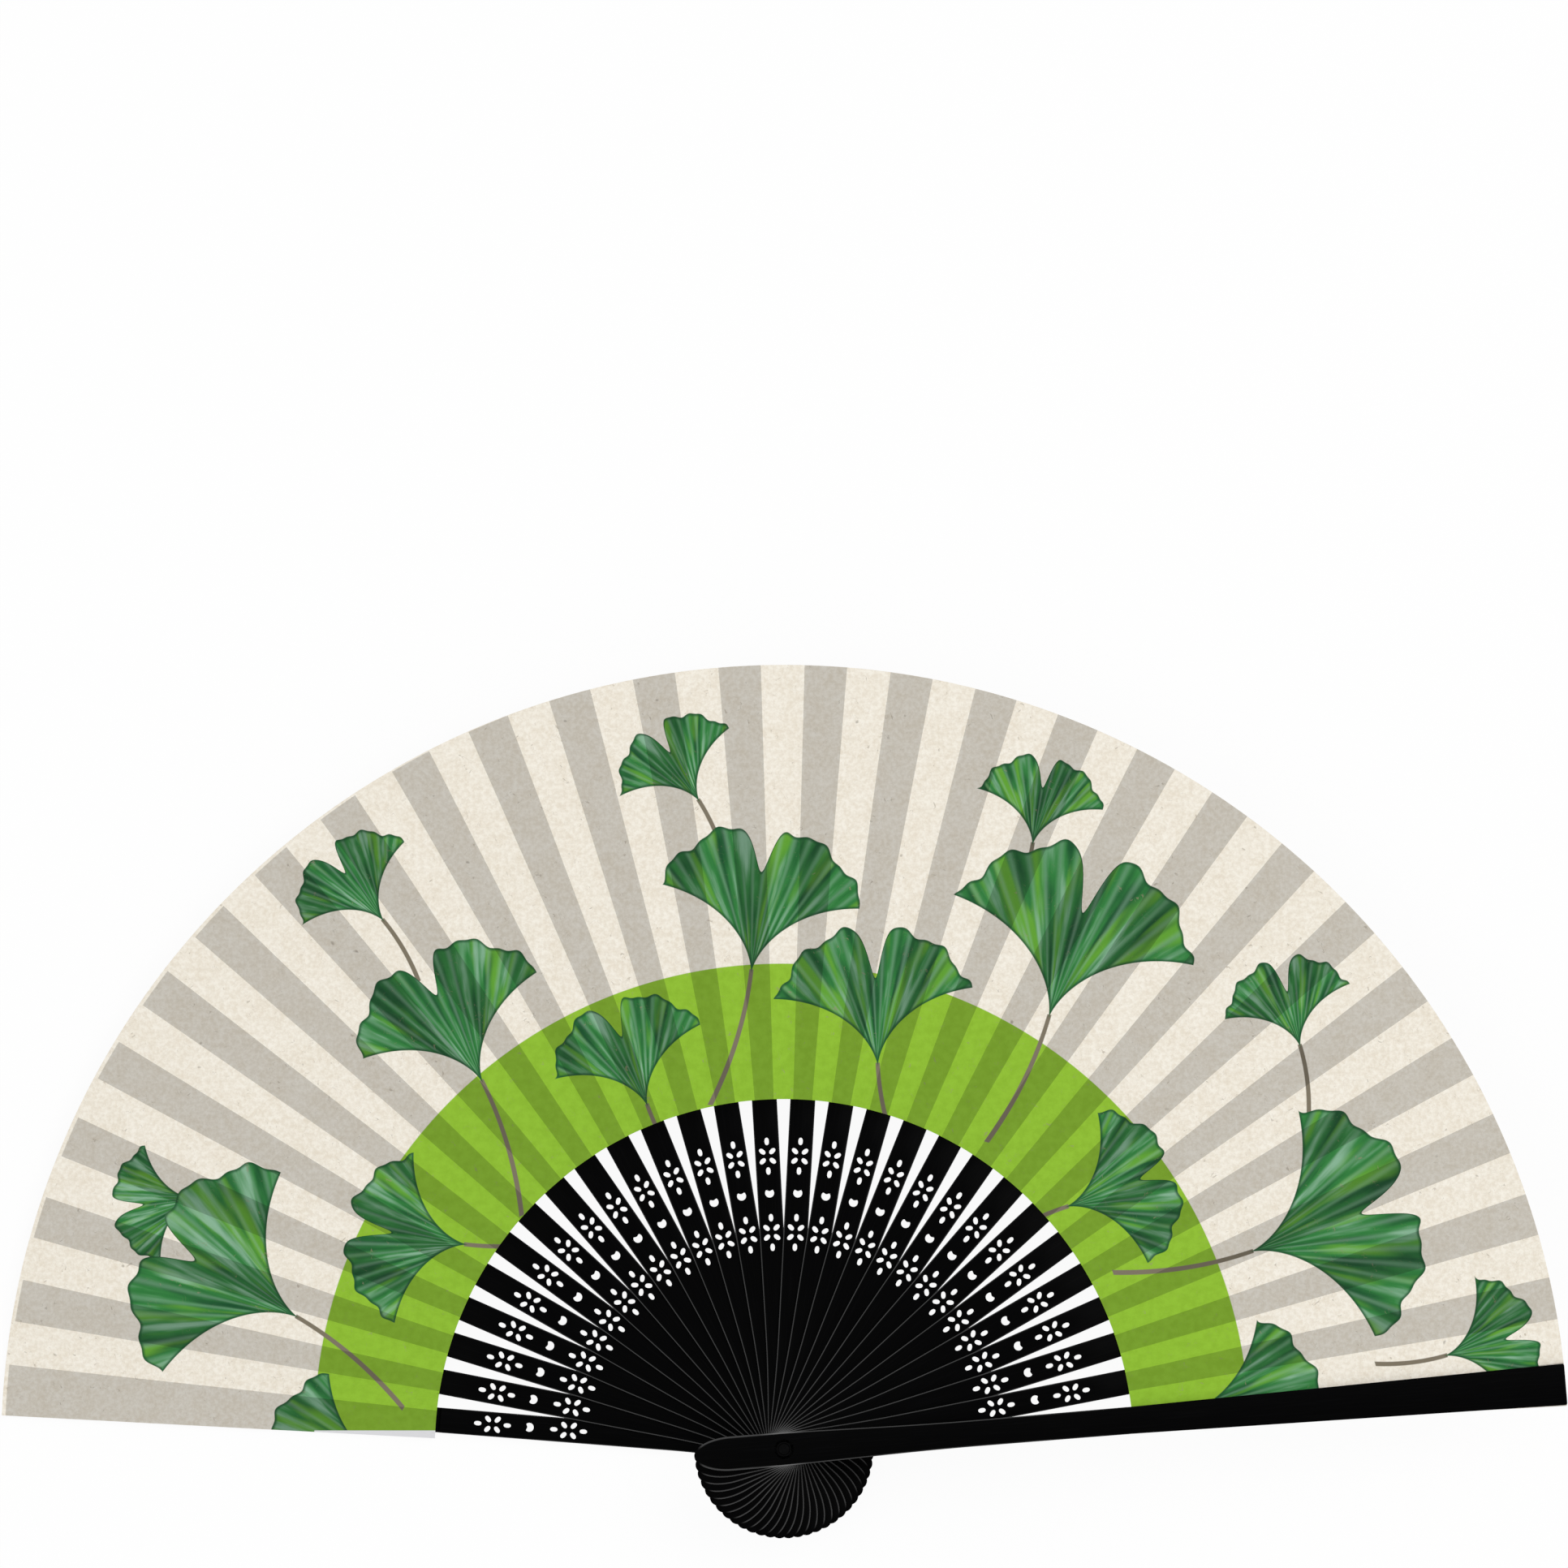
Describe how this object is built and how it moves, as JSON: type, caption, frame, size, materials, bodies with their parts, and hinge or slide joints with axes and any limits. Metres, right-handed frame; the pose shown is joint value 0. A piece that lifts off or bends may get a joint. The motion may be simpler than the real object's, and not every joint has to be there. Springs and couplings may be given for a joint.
{
  "type": "folding hand fan",
  "caption": "Folding hand fan with pierced black sticks between two guards on one rivet and a pleated paper leaf that folds as it closes.",
  "frame": {"origin": "on the rivet's axis, at the rear guard's outer (lower) face, with the fan open", "axes": "+Z along the rivet from the rear guard to the front guard, +Y up the middle of the open leaf, +X towards the front guard's side"},
  "size_m": [0.4139, 0.2309, 0.0298],
  "materials": {
    "guard_lacquer": "black lacquered bamboo guard, satin gloss with faint lengthwise grain",
    "stick_lacquer": "black lacquered bamboo stick, satin gloss, paler along its cut edges",
    "leaf_paper": null,
    "rivet_metal": "blackened steel rivet, satin",
    "washer_metal": "blackened steel washer, satin"
  },
  "bodies": {
    "rear_guard": {"rear_guard": "guard_lacquer", "leaf_pleat_01": "leaf_paper", "pivot_rivet": "rivet_metal", "rivet_washer": "washer_metal"},
    "stick_01": {"stick_01": "stick_lacquer", "leaf_pleat_02": "leaf_paper"},
    "stick_02": {"stick_02": "stick_lacquer", "leaf_pleat_03": "leaf_paper"},
    "stick_03": {"stick_03": "stick_lacquer", "leaf_pleat_04": "leaf_paper"},
    "stick_04": {"stick_04": "stick_lacquer", "leaf_pleat_05": "leaf_paper"},
    "stick_05": {"stick_05": "stick_lacquer", "leaf_pleat_06": "leaf_paper"},
    "stick_06": {"stick_06": "stick_lacquer", "leaf_pleat_07": "leaf_paper"},
    "stick_07": {"stick_07": "stick_lacquer", "leaf_pleat_08": "leaf_paper"},
    "stick_08": {"stick_08": "stick_lacquer", "leaf_pleat_09": "leaf_paper"},
    "stick_09": {"stick_09": "stick_lacquer", "leaf_pleat_10": "leaf_paper"},
    "stick_10": {"stick_10": "stick_lacquer", "leaf_pleat_11": "leaf_paper"},
    "stick_11": {"stick_11": "stick_lacquer", "leaf_pleat_12": "leaf_paper"},
    "stick_12": {"stick_12": "stick_lacquer", "leaf_pleat_13": "leaf_paper"},
    "stick_13": {"stick_13": "stick_lacquer", "leaf_pleat_14": "leaf_paper"},
    "stick_14": {"stick_14": "stick_lacquer", "leaf_pleat_15": "leaf_paper"},
    "stick_15": {"stick_15": "stick_lacquer", "leaf_pleat_16": "leaf_paper"},
    "stick_16": {"stick_16": "stick_lacquer", "leaf_pleat_17": "leaf_paper"},
    "stick_17": {"stick_17": "stick_lacquer", "leaf_pleat_18": "leaf_paper"},
    "stick_18": {"stick_18": "stick_lacquer", "leaf_pleat_19": "leaf_paper"},
    "stick_19": {"stick_19": "stick_lacquer", "leaf_pleat_20": "leaf_paper"},
    "stick_20": {"stick_20": "stick_lacquer", "leaf_pleat_21": "leaf_paper"},
    "stick_21": {"stick_21": "stick_lacquer", "leaf_pleat_22": "leaf_paper"},
    "stick_22": {"stick_22": "stick_lacquer", "leaf_pleat_23": "leaf_paper"},
    "stick_23": {"stick_23": "stick_lacquer", "leaf_pleat_24": "leaf_paper"},
    "stick_24": {"stick_24": "stick_lacquer", "leaf_pleat_25": "leaf_paper"},
    "stick_25": {"stick_25": "stick_lacquer", "leaf_pleat_26": "leaf_paper"},
    "stick_26": {"stick_26": "stick_lacquer", "leaf_pleat_27": "leaf_paper"},
    "front_guard": {"front_guard": "guard_lacquer", "leaf_end_strip": "leaf_paper"}
  },
  "joints": [
    {"name": "fold_01", "type": "hinge", "parent": "rear_guard", "child": "stick_01", "pos_m": [0, 0, 0], "axis": [0, 0, 1], "range_deg": [0, 6.32], "deforming": ["leaf_pleat_01"]},
    {"name": "fold_02", "type": "hinge", "parent": "stick_01", "child": "stick_02", "pos_m": [0, 0, 0], "axis": [0, 0, 1], "range_deg": [0, 6.32], "deforming": ["leaf_pleat_02"]},
    {"name": "fold_03", "type": "hinge", "parent": "stick_02", "child": "stick_03", "pos_m": [0, 0, 0], "axis": [0, 0, 1], "range_deg": [0, 6.32], "deforming": ["leaf_pleat_03"]},
    {"name": "fold_04", "type": "hinge", "parent": "stick_03", "child": "stick_04", "pos_m": [0, 0, 0], "axis": [0, 0, 1], "range_deg": [0, 6.32], "deforming": ["leaf_pleat_04"]},
    {"name": "fold_05", "type": "hinge", "parent": "stick_04", "child": "stick_05", "pos_m": [0, 0, 0], "axis": [0, 0, 1], "range_deg": [0, 6.32], "deforming": ["leaf_pleat_05"]},
    {"name": "fold_06", "type": "hinge", "parent": "stick_05", "child": "stick_06", "pos_m": [0, 0, 0], "axis": [0, 0, 1], "range_deg": [0, 6.32], "deforming": ["leaf_pleat_06"]},
    {"name": "fold_07", "type": "hinge", "parent": "stick_06", "child": "stick_07", "pos_m": [0, 0, 0], "axis": [0, 0, 1], "range_deg": [0, 6.32], "deforming": ["leaf_pleat_07"]},
    {"name": "fold_08", "type": "hinge", "parent": "stick_07", "child": "stick_08", "pos_m": [0, 0, 0], "axis": [0, 0, 1], "range_deg": [0, 6.32], "deforming": ["leaf_pleat_08"]},
    {"name": "fold_09", "type": "hinge", "parent": "stick_08", "child": "stick_09", "pos_m": [0, 0, 0], "axis": [0, 0, 1], "range_deg": [0, 6.32], "deforming": ["leaf_pleat_09"]},
    {"name": "fold_10", "type": "hinge", "parent": "stick_09", "child": "stick_10", "pos_m": [0, 0, 0], "axis": [0, 0, 1], "range_deg": [0, 6.32], "deforming": ["leaf_pleat_10"]},
    {"name": "fold_11", "type": "hinge", "parent": "stick_10", "child": "stick_11", "pos_m": [0, 0, 0], "axis": [0, 0, 1], "range_deg": [0, 6.32], "deforming": ["leaf_pleat_11"]},
    {"name": "fold_12", "type": "hinge", "parent": "stick_11", "child": "stick_12", "pos_m": [0, 0, 0], "axis": [0, 0, 1], "range_deg": [0, 6.32], "deforming": ["leaf_pleat_12"]},
    {"name": "fold_13", "type": "hinge", "parent": "stick_12", "child": "stick_13", "pos_m": [0, 0, 0], "axis": [0, 0, 1], "range_deg": [0, 6.32], "deforming": ["leaf_pleat_13"]},
    {"name": "fold_14", "type": "hinge", "parent": "stick_13", "child": "stick_14", "pos_m": [0, 0, 0], "axis": [0, 0, 1], "range_deg": [0, 6.32], "deforming": ["leaf_pleat_14"]},
    {"name": "fold_15", "type": "hinge", "parent": "stick_14", "child": "stick_15", "pos_m": [0, 0, 0], "axis": [0, 0, 1], "range_deg": [0, 6.32], "deforming": ["leaf_pleat_15"]},
    {"name": "fold_16", "type": "hinge", "parent": "stick_15", "child": "stick_16", "pos_m": [0, 0, 0], "axis": [0, 0, 1], "range_deg": [0, 6.32], "deforming": ["leaf_pleat_16"]},
    {"name": "fold_17", "type": "hinge", "parent": "stick_16", "child": "stick_17", "pos_m": [0, 0, 0], "axis": [0, 0, 1], "range_deg": [0, 6.32], "deforming": ["leaf_pleat_17"]},
    {"name": "fold_18", "type": "hinge", "parent": "stick_17", "child": "stick_18", "pos_m": [0, 0, 0], "axis": [0, 0, 1], "range_deg": [0, 6.32], "deforming": ["leaf_pleat_18"]},
    {"name": "fold_19", "type": "hinge", "parent": "stick_18", "child": "stick_19", "pos_m": [0, 0, 0], "axis": [0, 0, 1], "range_deg": [0, 6.32], "deforming": ["leaf_pleat_19"]},
    {"name": "fold_20", "type": "hinge", "parent": "stick_19", "child": "stick_20", "pos_m": [0, 0, 0], "axis": [0, 0, 1], "range_deg": [0, 6.32], "deforming": ["leaf_pleat_20"]},
    {"name": "fold_21", "type": "hinge", "parent": "stick_20", "child": "stick_21", "pos_m": [0, 0, 0], "axis": [0, 0, 1], "range_deg": [0, 6.32], "deforming": ["leaf_pleat_21"]},
    {"name": "fold_22", "type": "hinge", "parent": "stick_21", "child": "stick_22", "pos_m": [0, 0, 0], "axis": [0, 0, 1], "range_deg": [0, 6.32], "deforming": ["leaf_pleat_22"]},
    {"name": "fold_23", "type": "hinge", "parent": "stick_22", "child": "stick_23", "pos_m": [0, 0, 0], "axis": [0, 0, 1], "range_deg": [0, 6.32], "deforming": ["leaf_pleat_23"]},
    {"name": "fold_24", "type": "hinge", "parent": "stick_23", "child": "stick_24", "pos_m": [0, 0, 0], "axis": [0, 0, 1], "range_deg": [0, 6.32], "deforming": ["leaf_pleat_24"]},
    {"name": "fold_25", "type": "hinge", "parent": "stick_24", "child": "stick_25", "pos_m": [0, 0, 0], "axis": [0, 0, 1], "range_deg": [0, 6.32], "deforming": ["leaf_pleat_25"]},
    {"name": "fold_26", "type": "hinge", "parent": "stick_25", "child": "stick_26", "pos_m": [0, 0, 0], "axis": [0, 0, 1], "range_deg": [0, 6.32], "deforming": ["leaf_pleat_26"]},
    {"name": "fold_27", "type": "hinge", "parent": "stick_26", "child": "front_guard", "pos_m": [0, 0, 0], "axis": [0, 0, 1], "range_deg": [0, 6.32], "deforming": ["leaf_pleat_27"]}
  ],
  "couplings": [
    {"joint": "fold_02", "follows": "fold_01", "ratio": 1},
    {"joint": "fold_03", "follows": "fold_01", "ratio": 1},
    {"joint": "fold_04", "follows": "fold_01", "ratio": 1},
    {"joint": "fold_05", "follows": "fold_01", "ratio": 1},
    {"joint": "fold_06", "follows": "fold_01", "ratio": 1},
    {"joint": "fold_07", "follows": "fold_01", "ratio": 1},
    {"joint": "fold_08", "follows": "fold_01", "ratio": 1},
    {"joint": "fold_09", "follows": "fold_01", "ratio": 1},
    {"joint": "fold_10", "follows": "fold_01", "ratio": 1},
    {"joint": "fold_11", "follows": "fold_01", "ratio": 1},
    {"joint": "fold_12", "follows": "fold_01", "ratio": 1},
    {"joint": "fold_13", "follows": "fold_01", "ratio": 1},
    {"joint": "fold_14", "follows": "fold_01", "ratio": 1},
    {"joint": "fold_15", "follows": "fold_01", "ratio": 1},
    {"joint": "fold_16", "follows": "fold_01", "ratio": 1},
    {"joint": "fold_17", "follows": "fold_01", "ratio": 1},
    {"joint": "fold_18", "follows": "fold_01", "ratio": 1},
    {"joint": "fold_19", "follows": "fold_01", "ratio": 1},
    {"joint": "fold_20", "follows": "fold_01", "ratio": 1},
    {"joint": "fold_21", "follows": "fold_01", "ratio": 1},
    {"joint": "fold_22", "follows": "fold_01", "ratio": 1},
    {"joint": "fold_23", "follows": "fold_01", "ratio": 1},
    {"joint": "fold_24", "follows": "fold_01", "ratio": 1},
    {"joint": "fold_25", "follows": "fold_01", "ratio": 1},
    {"joint": "fold_26", "follows": "fold_01", "ratio": 1},
    {"joint": "fold_27", "follows": "fold_01", "ratio": 1}
  ]
}
